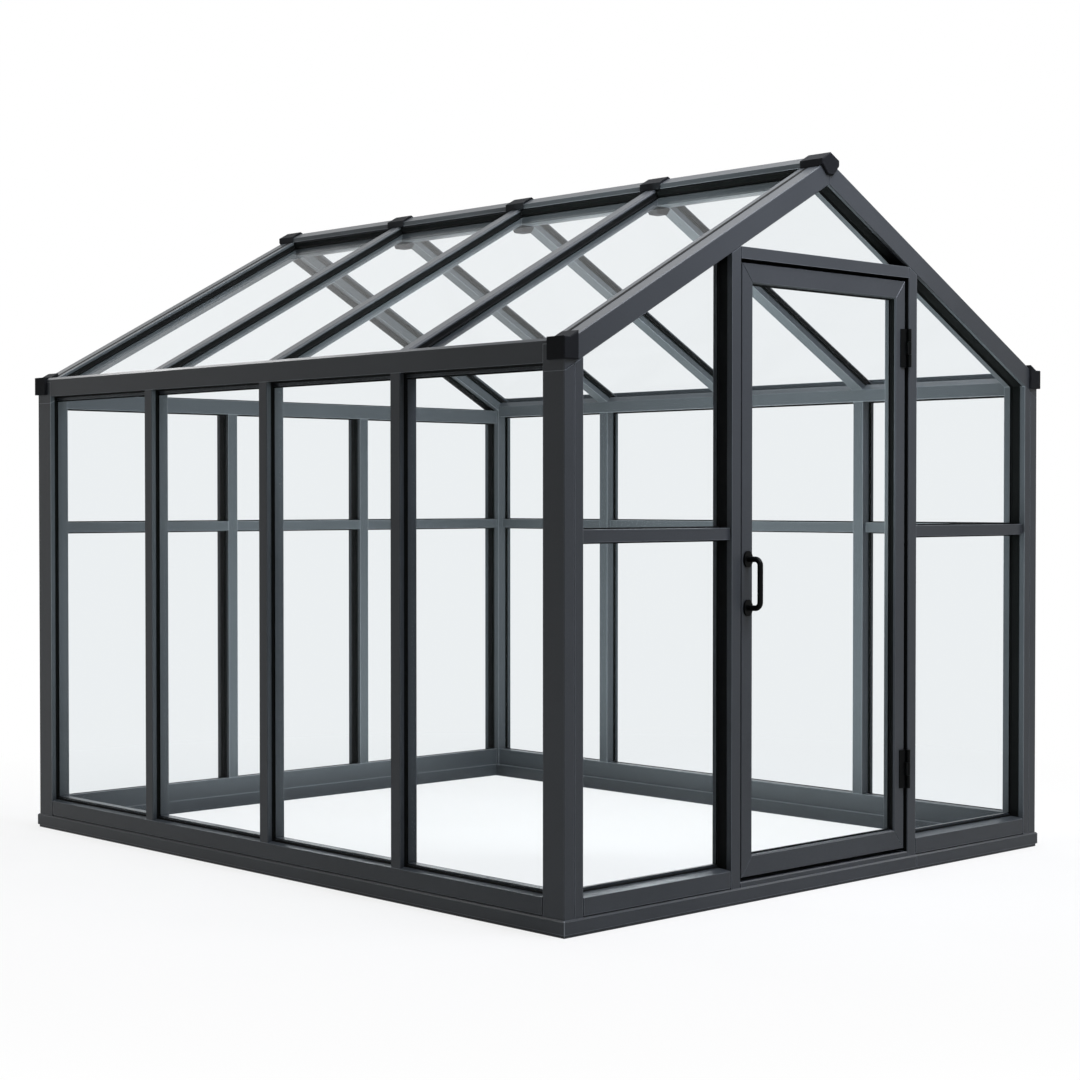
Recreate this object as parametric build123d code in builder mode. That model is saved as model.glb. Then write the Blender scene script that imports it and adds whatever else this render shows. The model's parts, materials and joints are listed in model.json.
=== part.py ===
# Gable-roofed glass greenhouse in charcoal aluminium profiles, with one hinged door.
# Millimetres. Origin on the ground at the plan centre, +Z up, door wall at -Y, ridge along Y.
import os
from math import cos, radians, tan

from build123d import *

# Overall sizes
house_width = 2400.0
house_length = 2920.0
apex_height = 2371.0  # top plane of the rakes, where the two slopes meet
roof_pitch = 28.6  # degrees

# Base frame
base_height = 51.0
base_width = 86.0
base_proud = 6.0
base_foot_height = 10.0
base_foot_inset = 5.0
base_edge_break = 4.0
splice_width = 3.0
splice_depth = 2.0

# Glass and the slots that hold it
glass_thickness = 4.0
glass_clearance = 0.3
glass_grip = 10.0  # depth of a slot
side_glass_setback = 25.0
gable_glass_setback = 55.0

# Posts and mullions
corner_post_width = 76.0
gable_depth = 90.0  # corner posts and rakes, along Y
infill_depth = 80.0  # door posts, back posts, gable rails
side_depth = 70.0  # side mullions and side bottom rails
mullion_width = 46.0
mullion_count = 3
door_post_width = 44.0
back_post_width = 44.0
back_post_spacing = 690.0
edge_break = 2.5
face_groove_offset = 42.0
face_groove_width = 3.0
face_groove_depth = 2.0

# Rails
bottom_rail_height = 57.0
sill_rise = 5.0
bead_rise = 9.0
shadow_gap_height = 5.0
shadow_gap_depth = 5.0
end_gap_width = 4.0  # shadow gap where a bottom rail meets a post
end_gap_depth = 6.0
mid_rail_height = 37.0
mid_rail_centre = 1160.0
mid_rail_recess = 10.0
mid_rail_side_depth = 40.0
tie_beam_height = 56.0
tie_beam_drop = 4.0  # below the rake underside at the corner posts

# Eaves
eave_height = 72.0
eave_upstand = 18.0  # lip of the gutter above the roof plane
eave_depth = 74.0
eave_lip = 14.0
eave_chamfer = 8.0
eave_ledge = 18.0  # width of the sloped ledge inside, under the bar ends
eave_bead_drop = 15.0  # inner bead below the outer face
gutter_width = 26.0
gutter_depth = 36.0

# Roof, depths measured square to the slope
rake_depth = 70.0
rake_edge_break = 2.5
bar_width = 52.0
bar_depth = 56.0
bar_stand = 26.0  # bar top above the roof glass
bar_chamfer = 6.0
ridge_beam_width = 60.0
capping_width = 80.0
capping_thickness = 17.0
pane_overhang = 10.0  # roof glass past its seat, over the gutter

# Black connectors
clip_length = 95.0
clip_thickness = 8.0
clip_side = 4.0
end_plate_thickness = 8.0
end_plate_cheek = 18.0
end_plate_drop = 74.0
end_plate_foot = 28.0
hub_length = 44.0
hub_width = 76.0
hub_foot = 44.0
hub_height = 26.0
corner_cap_wall = 10.0
corner_cap_side = 64.0
corner_cap_front = 50.0
corner_cap_height = 85.0
corner_cap_over = 2.0  # above the eave lip
cap_edge_break = 3.0

# Door
door_opening_width = 860.0
door_post_chamfer = 3.5
header_height = 37.0
header_rake_gap = 0.8  # under the rakes at the edge of the opening
threshold_height = 17.0
threshold_chamfer = 3.0
door_gap = 12.0
leaf_thickness = 45.0
leaf_setback = 8.0
stile_width = 52.0
top_rail_height = 62.0
kick_rail_height = 66.0
leaf_edge_break = 1.5
light_chamfer = 4.0  # round the door pane
stop_clearance = 5.0  # behind the closed leaf
stop_cover = 12.0
threshold_stop_cover = 4.0
stop_end_gap = 1.0

# Door pull
handle_centre = 1003.5
handle_spacing = 153.0
handle_standoff = 53.0
handle_diameter = 18.0
handle_bend_radius = 20.0
rose_width = 40.0
rose_height = 52.0
rose_thickness = 6.0

# Butt hinges
hinge_foot_offset = 271.0  # lower hinge above the leaf's foot
hinge_head_offset = 227.0  # upper hinge below the leaf's head
hinge_height = 130.0
hinge_barrel_diameter = 14.0
hinge_pin_diameter = 6.0
hinge_pin_clearance = 0.2
hinge_knuckle_gap = 0.5
hinge_leaf_width = 26.0
hinge_leaf_thickness = 3.0
hinge_cover_edge = 2.0
hinge_cover_thickness = 8.0
hinge_crank_width = 6.0

overrun = 5.0  # how far a cut runs past the face it opens

# Derived places
half_width = house_width / 2
half_length = house_length / 2
rise = tan(radians(roof_pitch))
lean = 1 / cos(radians(roof_pitch))
slot = glass_thickness + 2 * glass_clearance
inset = glass_grip - glass_clearance  # how far a pane reaches into a slot
seat_depth = bar_stand + slot
post_inner_x = half_width - corner_post_width
gable_inner_y = half_length - gable_depth
rail_top = base_height + bottom_rail_height
sill_top = rail_top + sill_rise
bead_top = sill_top + bead_rise
sill_slot_floor = sill_top - glass_grip
mid_rail_bottom = mid_rail_centre - mid_rail_height / 2
mid_rail_top = mid_rail_centre + mid_rail_height / 2
side_slot_x = half_width - side_glass_setback  # outer side of the side-wall slots
gable_slot_y = half_length - gable_glass_setback  # outer side of the gable slots
door_half = door_opening_width / 2
door_post_outer = door_half + door_post_width
lip_x = half_width - eave_lip
eave_inner_x = half_width - eave_depth
eave_ledge_x = eave_inner_x + eave_ledge
gutter_inner_x = lip_x - gutter_width
ridge_half = ridge_beam_width / 2
ridge_slot_x = ridge_half - glass_grip
bay = (2 * gable_inner_y - mullion_count * mullion_width) / (mullion_count + 1)
mullion_places = [
    -gable_inner_y + (n + 1) * bay + (n + 0.5) * mullion_width for n in range(mullion_count)
]


def roof_line(x, depth=0.0):
    """Height of a line parallel to the roof plane, at a depth square to the slope."""
    return apex_height - rise * abs(x) - depth * lean


eave_top = roof_line(half_width)
eave_face_top = eave_top + eave_upstand
eave_bottom = eave_face_top - eave_height
tie_top = roof_line(post_inner_x, rake_depth) - tie_beam_drop
tie_bottom = tie_top - tie_beam_height
eave_bead_bottom = eave_bottom - eave_bead_drop
header_top = roof_line(door_half, rake_depth) - header_rake_gap
door_opening_top = header_top - header_height
threshold_top = base_height + threshold_height
infill_back = infill_depth - half_length
cap_back_y = corner_cap_side - half_length


def prism(plane, outline, amount, mode=Mode.ADD):
    """Extrude a closed outline from a plane into the part being built."""
    with BuildSketch(plane) as section:
        with BuildLine():
            Polyline(*outline, close=True)
        make_face()
    extrude(section.sketch, amount=amount, mode=mode)


def along_y(outline, y_from, y_to, mode=Mode.ADD):
    """Prism of an (x, z) outline between two places along Y."""
    prism(Plane.XZ.offset(-y_from), outline, y_from - y_to, mode)


def along_x(outline, x_from, x_to, mode=Mode.ADD):
    """Prism of a (y, z) outline between two places along X."""
    prism(Plane.YZ.offset(x_from), outline, x_to - x_from, mode)


def along_z(outline, z_from, z_to, mode=Mode.ADD):
    """Prism of an (x, y) outline between two heights."""
    prism(Plane.XY.offset(z_from), outline, z_to - z_from, mode)


def rectangle(a_from, b_from, a_to, b_to):
    """Outline of a rectangle between two corners."""
    return [(a_from, b_from), (a_to, b_from), (a_to, b_to), (a_from, b_to)]


def slope_band(x_from, x_to, depth_from, depth_to):
    """Outline of a band on the left slope, between two depths below the roof plane."""
    return [
        (-x_from, roof_line(x_from, depth_from)),
        (-x_to, roof_line(x_to, depth_from)),
        (-x_to, roof_line(x_to, depth_to)),
        (-x_from, roof_line(x_from, depth_to)),
    ]


def side_slot(y_from, y_to, z_from, z_to):
    """Cut a slot for the left-wall glass."""
    along_z(
        rectangle(-side_slot_x, y_from, slot - side_slot_x, y_to), z_from, z_to, Mode.SUBTRACT
    )


def gable_slot(x_from, x_to, z_from, z_to):
    """Cut a slot for the front-wall glass."""
    along_z(
        rectangle(x_from, -gable_slot_y, x_to, slot - gable_slot_y), z_from, z_to, Mode.SUBTRACT
    )


def sill_outline(face, setback, depth):
    """Bottom rail section: shadow gap, sloped sill, glass slot and inner bead."""
    glass_outer = face + setback
    glass_inner = glass_outer + slot
    back = face + depth
    gap = face + shadow_gap_depth
    gap_top = base_height + shadow_gap_height
    return [
        (gap, base_height),
        (back, base_height),
        (back, bead_top),
        (glass_inner, bead_top),
        (glass_inner, sill_slot_floor),
        (glass_outer, sill_slot_floor),
        (glass_outer, sill_top),
        (face, rail_top),
        (face, gap_top),
        (gap, gap_top),
    ]


# Base frame: four mitred rails, stepped in at the ground
base_x = half_width + base_proud
base_y = half_length + base_proud


def base_end(reach, side, inner):
    """Mitred plan outline of a base rail along X, from its outer edge to its inner edge."""
    across = side * (base_y - reach)
    along = base_x - reach
    inner_along = base_x - base_width
    return [(-along, across), (along, across), (inner_along, inner), (-inner_along, inner)]


with BuildPart() as base_front:
    base_inner_y = base_width - base_y
    along_z(base_end(0, -1, base_inner_y), base_foot_height, base_height)
    along_z(base_end(base_foot_inset, -1, base_inner_y), 0, base_foot_height)
    chamfer(edges().group_by(Axis.Z)[-1].sort_by(Axis.Y)[0], base_edge_break)
    along_z(
        rectangle(
            door_post_outer - splice_width / 2,
            -base_y,
            door_post_outer + splice_width / 2,
            splice_depth - base_y,
        ),
        base_foot_height,
        base_height,
        Mode.SUBTRACT,
    )

with BuildPart() as base_back:
    mirror(base_front.part, about=Plane.XZ)

with BuildPart() as base_left:
    inner_x = base_width - base_x
    inner_y = base_y - base_width
    foot_x = base_foot_inset - base_x
    foot_y = base_y - base_foot_inset
    along_z(
        [(-base_x, -base_y), (inner_x, -inner_y), (inner_x, inner_y), (-base_x, base_y)],
        base_foot_height,
        base_height,
    )
    along_z(
        [(foot_x, -foot_y), (inner_x, -inner_y), (inner_x, inner_y), (foot_x, foot_y)],
        0,
        base_foot_height,
    )
    chamfer(edges().group_by(Axis.Z)[-1].sort_by(Axis.X)[0], base_edge_break)

with BuildPart() as base_right:
    mirror(base_left.part, about=Plane.YZ)

# Corner posts, cut to the slope under the rakes
with BuildPart() as corner_post_front_left:
    along_y(
        [
            (-half_width, base_height),
            (-post_inner_x, base_height),
            (-post_inner_x, roof_line(post_inner_x, rake_depth)),
            (-half_width, roof_line(half_width, rake_depth)),
        ],
        -half_length,
        -gable_inner_y,
    )
    outer_edge = edges().filter_by(Axis.Z).sort_by(Axis.X).sort_by(Axis.Y)[:2].sort_by(Axis.X)[0]
    chamfer(outer_edge, edge_break)
    gable_slot(-post_inner_x - glass_grip, -post_inner_x, sill_slot_floor, eave_top)
    side_slot(-gable_inner_y - glass_grip, -gable_inner_y, sill_slot_floor, eave_top)
    groove_x = face_groove_offset - half_width
    along_z(
        rectangle(
            groove_x - face_groove_width / 2,
            -half_length,
            groove_x + face_groove_width / 2,
            face_groove_depth - half_length,
        ),
        base_height,
        eave_top,
        Mode.SUBTRACT,
    )

with BuildPart() as corner_post_front_right:
    mirror(corner_post_front_left.part, about=Plane.YZ)

with BuildPart() as corner_post_back_left:
    mirror(corner_post_front_left.part, about=Plane.XZ)

with BuildPart() as corner_post_back_right:
    mirror(corner_post_back_left.part, about=Plane.YZ)

# Bottom rails
with BuildPart() as bottom_rail_left:
    along_y(
        sill_outline(-half_width, side_glass_setback, side_depth), -gable_inner_y, gable_inner_y
    )
    for end in (-gable_inner_y, gable_inner_y - end_gap_width):
        along_z(
            rectangle(-half_width, end, end_gap_depth - half_width, end + end_gap_width),
            base_height,
            sill_top,
            Mode.SUBTRACT,
        )

with BuildPart() as bottom_rail_right:
    mirror(bottom_rail_left.part, about=Plane.YZ)


def gable_sill(x_from, x_to):
    """Bottom rail in the front wall plane, with a shadow gap at each end."""
    along_x(sill_outline(-half_length, gable_glass_setback, infill_depth), x_from, x_to)
    for end in (x_from, x_to - end_gap_width):
        along_z(
            rectangle(end, -half_length, end + end_gap_width, end_gap_depth - half_length),
            base_height,
            sill_top,
            Mode.SUBTRACT,
        )


with BuildPart() as bottom_rails_front:
    gable_sill(-post_inner_x, -door_post_outer)
    gable_sill(door_post_outer, post_inner_x)

with BuildPart() as front_sill_full:
    gable_sill(-post_inner_x, post_inner_x)

with BuildPart() as bottom_rail_back:
    mirror(front_sill_full.part, about=Plane.XZ)

# Eave beams: chamfered lip that runs on over the rake feet to the corner caps, gutter, sloped
# glass seat and ledge; below, the wall glass slot and a bead
with BuildPart() as eave_beam_left:
    along_y(
        [
            (-half_width, eave_bottom),
            (-side_slot_x, eave_bottom),
            (-side_slot_x, eave_bottom + glass_grip),
            (slot - side_slot_x, eave_bottom + glass_grip),
            (slot - side_slot_x, eave_bead_bottom),
            (-eave_inner_x, eave_bead_bottom),
            (-eave_inner_x, roof_line(eave_inner_x, bar_depth)),
            (-eave_ledge_x, roof_line(eave_ledge_x, seat_depth)),
            (-gutter_inner_x, roof_line(gutter_inner_x, seat_depth)),
            (-gutter_inner_x, eave_top - gutter_depth),
            (-lip_x, eave_top - gutter_depth),
            (-lip_x, eave_face_top),
            (eave_chamfer - half_width, eave_face_top),
            (-half_width, eave_face_top - eave_chamfer),
        ],
        -gable_inner_y,
        gable_inner_y,
    )
    along_y(
        [
            (-half_width, eave_top),
            (-lip_x, roof_line(lip_x)),
            (-lip_x, eave_face_top),
            (eave_chamfer - half_width, eave_face_top),
            (-half_width, eave_face_top - eave_chamfer),
        ],
        cap_back_y,
        -cap_back_y,
    )

with BuildPart() as eave_beam_right:
    mirror(eave_beam_left.part, about=Plane.YZ)

# Side-wall mullions, cut over the sloped sill and under the eave bead
with BuildPart() as left_mullions:
    for place in mullion_places:
        near = place - mullion_width / 2
        far = place + mullion_width / 2
        along_z(
            [
                (edge_break - half_width, near),
                (side_depth - half_width, near),
                (side_depth - half_width, far),
                (edge_break - half_width, far),
                (-half_width, far - edge_break),
                (-half_width, near + edge_break),
            ],
            sill_slot_floor,
            eave_bottom,
        )
        side_slot(near, near + glass_grip, sill_slot_floor, eave_bottom)
        side_slot(far - glass_grip, far, sill_slot_floor, eave_bottom)
    add(bottom_rail_left.part, mode=Mode.SUBTRACT)
    add(eave_beam_left.part, mode=Mode.SUBTRACT)

with BuildPart() as right_mullions:
    mirror(left_mullions.part, about=Plane.YZ)

# Rakes, mitred on the ridge line, slotted for the roof glass and the gable glass
with BuildPart() as front_rake_left:
    along_y(slope_band(0, half_width, 0, rake_depth), -half_length, -gable_inner_y)
    chamfer(faces().sort_by(Axis.Y)[0].edges(), rake_edge_break)
    along_y(
        slope_band(0, lip_x, bar_stand, seat_depth),
        -gable_inner_y - glass_grip,
        -gable_inner_y,
        Mode.SUBTRACT,
    )
    along_y(
        slope_band(0, post_inner_x + glass_grip, rake_depth - glass_grip, rake_depth + overrun),
        -gable_slot_y,
        slot - gable_slot_y,
        Mode.SUBTRACT,
    )
    side_slot(
        -gable_inner_y - glass_grip, -gable_inner_y, base_height, eave_bottom + glass_grip
    )

with BuildPart() as front_rake_right:
    mirror(front_rake_left.part, about=Plane.YZ)

with BuildPart() as back_rake_left:
    mirror(front_rake_left.part, about=Plane.XZ)

with BuildPart() as back_rake_right:
    mirror(back_rake_left.part, about=Plane.YZ)

# Ridge beam between the rakes, and the capping that runs over everything
with BuildPart() as ridge_beam:
    along_y(
        [
            (-ridge_half, roof_line(ridge_half, bar_depth)),
            (ridge_half, roof_line(ridge_half, bar_depth)),
            (ridge_half, roof_line(ridge_half)),
            (0, apex_height),
            (-ridge_half, roof_line(ridge_half)),
        ],
        -gable_inner_y,
        gable_inner_y,
    )
    ridge_slot = slope_band(ridge_slot_x, ridge_half, bar_stand, seat_depth)
    along_y(ridge_slot, -gable_inner_y, gable_inner_y, Mode.SUBTRACT)
    along_y([(-x, z) for x, z in ridge_slot], -gable_inner_y, gable_inner_y, Mode.SUBTRACT)

capping_half = capping_width / 2
capping_peak = apex_height + capping_thickness
capping_edge = roof_line(capping_half) + capping_thickness

with BuildPart() as ridge_capping:
    along_y(
        [
            (-capping_half, roof_line(capping_half)),
            (0, apex_height),
            (capping_half, roof_line(capping_half)),
            (capping_half, capping_edge),
            (0, capping_peak),
            (-capping_half, capping_edge),
        ],
        -half_length,
        half_length,
    )

# Roof bars, chamfered along the top, cut over the eave beam and slotted on both sides
with BuildPart() as left_bars:
    for place in mullion_places:
        near = place - bar_width / 2
        far = place + bar_width / 2
        along_y(
            [
                (-ridge_half, roof_line(ridge_half)),
                (-lip_x, roof_line(lip_x)),
                (-lip_x, roof_line(lip_x, seat_depth)),
                (-eave_ledge_x, roof_line(eave_ledge_x, seat_depth)),
                (-eave_inner_x, roof_line(eave_inner_x, bar_depth)),
                (-ridge_half, roof_line(ridge_half, bar_depth)),
            ],
            near,
            far,
        )
    upper_faces = faces().filter_by(lambda face: face.normal_at().Z > 0).sort_by(SortBy.AREA)
    for top_face in upper_faces[-mullion_count:]:
        chamfer(top_face.edges().sort_by(SortBy.LENGTH)[-2:], bar_chamfer)
    for place in mullion_places:
        near = place - bar_width / 2
        far = place + bar_width / 2
        bar_slot = slope_band(ridge_half, lip_x, bar_stand, seat_depth)
        along_y(bar_slot, near, near + glass_grip, Mode.SUBTRACT)
        along_y(bar_slot, far - glass_grip, far, Mode.SUBTRACT)

with BuildPart() as roof_bars:
    add(left_bars.part)
    mirror(left_bars.part, about=Plane.YZ)

# Black connectors along the ridge: saddle clips, hubs below, caps at both ends
clip_half = capping_half + clip_side
clip_peak = capping_peak + clip_thickness
clip_edge = clip_peak - rise * clip_half
saddle = [
    (-clip_half, roof_line(capping_half)),
    (-clip_half, clip_edge),
    (0, clip_peak),
    (clip_half, clip_edge),
    (clip_half, roof_line(capping_half)),
    (capping_half, roof_line(capping_half)),
    (capping_half, capping_edge),
    (0, capping_peak),
    (-capping_half, capping_edge),
    (-capping_half, roof_line(capping_half)),
]
hub_base = roof_line(ridge_half, bar_depth) - hub_height
hub_outline = [
    (-hub_foot / 2, hub_base),
    (hub_foot / 2, hub_base),
    (hub_width / 2, roof_line(hub_width / 2, bar_depth)),
    (ridge_half, roof_line(ridge_half, bar_depth)),
    (-ridge_half, roof_line(ridge_half, bar_depth)),
    (-hub_width / 2, roof_line(hub_width / 2, bar_depth)),
]

with BuildPart() as ridge_clips:
    for place in mullion_places:
        along_y(saddle, place - clip_length / 2, place + clip_length / 2)
        along_y(hub_outline, place - hub_length / 2, place + hub_length / 2)

end_plate_bottom = clip_peak - end_plate_drop

with BuildPart() as front_end_cap:
    along_y(saddle, -half_length, clip_length - end_plate_thickness - half_length)
    along_y(
        [
            (0, clip_peak),
            (clip_half, clip_edge),
            (clip_half, clip_edge - end_plate_cheek),
            (end_plate_foot / 2, end_plate_bottom),
            (-end_plate_foot / 2, end_plate_bottom),
            (-clip_half, clip_edge - end_plate_cheek),
            (-clip_half, clip_edge),
        ],
        -half_length - end_plate_thickness,
        -half_length,
    )
    chamfer(faces().sort_by(Axis.Y)[0].edges(), cap_edge_break)

with BuildPart() as ridge_end_caps:
    add(front_end_cap.part)
    mirror(front_end_cap.part, about=Plane.XZ)

# Black corner caps over the rake feet at the eaves
cap_outer_x = half_width + corner_cap_wall
cap_inner_x = half_width - corner_cap_front
cap_top_rise = corner_cap_wall * lean
cap_top = eave_face_top + corner_cap_over
cap_flat_x = (apex_height + cap_top_rise - cap_top) / rise  # where the slope meets the flat top
cap_bottom = roof_line(cap_inner_x) + cap_top_rise - corner_cap_height
cap_hollow_x = cap_inner_x - overrun
cap_hollow_bottom = cap_bottom - overrun

with BuildPart() as front_left_cap:
    along_y(
        [
            (-cap_outer_x, cap_bottom),
            (-cap_inner_x, cap_bottom),
            (-cap_inner_x, roof_line(cap_inner_x) + cap_top_rise),
            (-cap_flat_x, cap_top),
            (-cap_outer_x, cap_top),
        ],
        -half_length - corner_cap_wall,
        cap_back_y,
    )
    chamfer(faces().sort_by(Axis.Y)[0].edges(), cap_edge_break)
    along_y(
        [
            (-half_width, cap_hollow_bottom),
            (-cap_hollow_x, cap_hollow_bottom),
            (-cap_hollow_x, roof_line(cap_hollow_x)),
            (-half_width, roof_line(half_width)),
        ],
        -half_length,
        cap_back_y + overrun,
        Mode.SUBTRACT,
    )

with BuildPart() as front_caps:
    add(front_left_cap.part)
    mirror(front_left_cap.part, about=Plane.YZ)

with BuildPart() as eave_corner_caps:
    add(front_caps.part)
    mirror(front_caps.part, about=Plane.XZ)

# Front wall: door posts, header, threshold and the stops behind the closed leaf
with BuildPart() as left_door_post:
    along_y(
        [
            (-door_post_outer, base_height),
            (-door_half, base_height),
            (-door_half, roof_line(door_half, rake_depth)),
            (-door_post_outer, roof_line(door_post_outer, rake_depth)),
        ],
        -half_length,
        infill_back,
    )
    opening_edge = edges().filter_by(Axis.Z).group_by(Axis.Y)[0].sort_by(Axis.X)[-1]
    chamfer(opening_edge, door_post_chamfer)
    gable_slot(-door_post_outer, glass_grip - door_post_outer, sill_slot_floor, apex_height)
    gable_slot(-door_half - glass_grip, -door_half, header_top - glass_grip, apex_height)

with BuildPart() as door_posts:
    add(left_door_post.part)
    mirror(left_door_post.part, about=Plane.YZ)

with BuildPart() as door_header:
    along_x(
        rectangle(-half_length, door_opening_top, infill_back, header_top),
        -door_half,
        door_half,
    )
    gable_slot(-door_half, door_half, header_top - glass_grip, header_top)

with BuildPart() as door_threshold:
    along_x(
        rectangle(-half_length, base_height, infill_back, threshold_top), -door_half, door_half
    )
    chamfer(edges().group_by(Axis.Z)[-1].sort_by(Axis.Y)[0], threshold_chamfer)

leaf_half = door_half - door_gap
leaf_bottom = threshold_top + door_gap
leaf_top = door_opening_top - door_gap
leaf_front = leaf_setback - half_length
leaf_back = leaf_front + leaf_thickness
stop_front = leaf_back + stop_clearance
stop_inner = leaf_half - stop_cover
stop_foot = leaf_bottom + threshold_stop_cover
stop_head = leaf_top - stop_cover

with BuildPart() as door_stops:
    for edge_from, edge_to in ((-door_half, -stop_inner), (stop_inner, door_half)):
        along_z(
            rectangle(edge_from, stop_front, edge_to, infill_back),
            stop_foot + stop_end_gap,
            stop_head - stop_end_gap,
        )
    for low, high in ((threshold_top, stop_foot), (stop_head, door_opening_top)):
        along_x(rectangle(stop_front, low, infill_back, high), -door_half, door_half)


def gable_mid_rail(x_from, x_to):
    """Mid-rail in the front wall plane, slotted above and below."""
    along_x(
        rectangle(
            mid_rail_recess - half_length,
            mid_rail_bottom,
            infill_back,
            mid_rail_top,
        ),
        x_from,
        x_to,
    )
    gable_slot(x_from, x_to, mid_rail_bottom, mid_rail_bottom + glass_grip)
    gable_slot(x_from, x_to, mid_rail_top - glass_grip, mid_rail_top)


with BuildPart() as mid_rails_front:
    gable_mid_rail(-post_inner_x, -door_post_outer)
    gable_mid_rail(door_post_outer, post_inner_x)

# Back wall: two posts under a tie beam, with a mid-rail; drawn in the front plane, then mirrored
back_post_inner = (back_post_spacing - back_post_width) / 2
back_post_outer = (back_post_spacing + back_post_width) / 2

with BuildPart() as back_posts_drawn:
    for side in (-1, 1):
        edge_a = min(side * back_post_inner, side * back_post_outer)
        edge_b = max(side * back_post_inner, side * back_post_outer)
        along_z(
            rectangle(edge_a, -half_length, edge_b, infill_back),
            sill_slot_floor,
            tie_bottom,
        )
        gable_slot(edge_a, edge_a + glass_grip, sill_slot_floor, tie_bottom)
        gable_slot(edge_b - glass_grip, edge_b, sill_slot_floor, tie_bottom)
    add(front_sill_full.part, mode=Mode.SUBTRACT)

with BuildPart() as back_posts:
    mirror(back_posts_drawn.part, about=Plane.XZ)

with BuildPart() as tie_beam_drawn:
    along_x(
        rectangle(-half_length, tie_bottom, infill_back, tie_top),
        -post_inner_x,
        post_inner_x,
    )
    gable_slot(-post_inner_x, post_inner_x, tie_bottom, tie_bottom + glass_grip)
    gable_slot(-post_inner_x, post_inner_x, tie_top - glass_grip, tie_top)

with BuildPart() as back_tie_beam:
    mirror(tie_beam_drawn.part, about=Plane.XZ)

with BuildPart() as back_mid_rails_drawn:
    gable_mid_rail(-post_inner_x, -back_post_outer)
    gable_mid_rail(-back_post_inner, back_post_inner)
    gable_mid_rail(back_post_outer, post_inner_x)

with BuildPart() as mid_rails_back:
    mirror(back_mid_rails_drawn.part, about=Plane.XZ)

# Right wall mid-rails, one in each bay; drawn in the left wall plane, then mirrored
bay_starts = [-gable_inner_y] + [place + mullion_width / 2 for place in mullion_places]

with BuildPart() as side_mid_rails_drawn:
    for start in bay_starts:
        along_y(
            rectangle(
                mid_rail_recess - half_width,
                mid_rail_bottom,
                mid_rail_recess + mid_rail_side_depth - half_width,
                mid_rail_top,
            ),
            start,
            start + bay,
        )
        side_slot(start, start + bay, mid_rail_bottom, mid_rail_bottom + glass_grip)
        side_slot(start, start + bay, mid_rail_top - glass_grip, mid_rail_top)

with BuildPart() as mid_rails_right:
    mirror(side_mid_rails_drawn.part, about=Plane.YZ)

# Wall glass
pane_foot = sill_slot_floor + glass_clearance
side_pane_top = eave_bottom + inset
side_pane_x = glass_clearance - side_slot_x
gable_pane_y = glass_clearance - gable_slot_y
gable_pane_depth = rake_depth - inset


def side_pane(start, z_from, z_to):
    """Pane in one bay of the left wall."""
    along_z(
        rectangle(side_pane_x, start - inset, side_pane_x + glass_thickness, start + bay + inset),
        z_from,
        z_to,
    )


def gable_pane(x_from, x_to, z_from, z_to):
    """Square-topped pane in the front wall plane."""
    along_y(
        rectangle(x_from - inset, z_from, x_to + inset, z_to),
        gable_pane_y,
        gable_pane_y + glass_thickness,
    )


with BuildPart() as left_wall_glass:
    for start in bay_starts:
        side_pane(start, pane_foot, side_pane_top)

with BuildPart() as split_side_glass:
    for start in bay_starts:
        side_pane(start, pane_foot, mid_rail_bottom + inset)
        side_pane(start, mid_rail_top - inset, side_pane_top)

with BuildPart() as right_wall_glass:
    mirror(split_side_glass.part, about=Plane.YZ)

side_light_outer = post_inner_x + inset
side_light_inner = door_post_outer - inset
header_pane_x = door_half + inset
header_pane_foot = header_top - inset

with BuildPart() as left_side_light:
    gable_pane(-post_inner_x, -door_post_outer, pane_foot, mid_rail_bottom + inset)
    along_y(
        [
            (-side_light_outer, mid_rail_top - inset),
            (-side_light_inner, mid_rail_top - inset),
            (-side_light_inner, roof_line(side_light_inner, gable_pane_depth)),
            (-side_light_outer, roof_line(side_light_outer, gable_pane_depth)),
        ],
        gable_pane_y,
        gable_pane_y + glass_thickness,
    )

with BuildPart() as front_wall_glass:
    add(left_side_light.part)
    mirror(left_side_light.part, about=Plane.YZ)
    along_y(
        [
            (-header_pane_x, header_pane_foot),
            (header_pane_x, header_pane_foot),
            (header_pane_x, roof_line(header_pane_x, gable_pane_depth)),
            (0, roof_line(0, gable_pane_depth)),
            (-header_pane_x, roof_line(header_pane_x, gable_pane_depth)),
        ],
        gable_pane_y,
        gable_pane_y + glass_thickness,
    )

with BuildPart() as back_glass_drawn:
    back_bays = [
        (-post_inner_x, -back_post_outer),
        (-back_post_inner, back_post_inner),
        (back_post_outer, post_inner_x),
    ]
    for bay_from, bay_to in back_bays:
        gable_pane(bay_from, bay_to, pane_foot, mid_rail_bottom + inset)
        gable_pane(bay_from, bay_to, mid_rail_top - inset, tie_bottom + inset)
    along_y(
        [
            (-post_inner_x, tie_top - inset),
            (post_inner_x, tie_top - inset),
            (post_inner_x, roof_line(post_inner_x, gable_pane_depth)),
            (0, roof_line(0, gable_pane_depth)),
            (-post_inner_x, roof_line(post_inner_x, gable_pane_depth)),
        ],
        gable_pane_y,
        gable_pane_y + glass_thickness,
    )

with BuildPart() as back_wall_glass:
    mirror(back_glass_drawn.part, about=Plane.XZ)

# Roof glass, held between the bars and lying on the eave seat
roof_pane = slope_band(
    ridge_slot_x + glass_clearance,
    gutter_inner_x + pane_overhang,
    bar_stand + glass_clearance,
    bar_stand + glass_clearance + glass_thickness,
)
roof_bay_starts = [-gable_inner_y] + [place + bar_width / 2 for place in mullion_places]
roof_bay_ends = [place - bar_width / 2 for place in mullion_places] + [gable_inner_y]

with BuildPart() as left_roof_glass:
    for start, end in zip(roof_bay_starts, roof_bay_ends):
        along_y(roof_pane, start - inset, end + inset)

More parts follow.
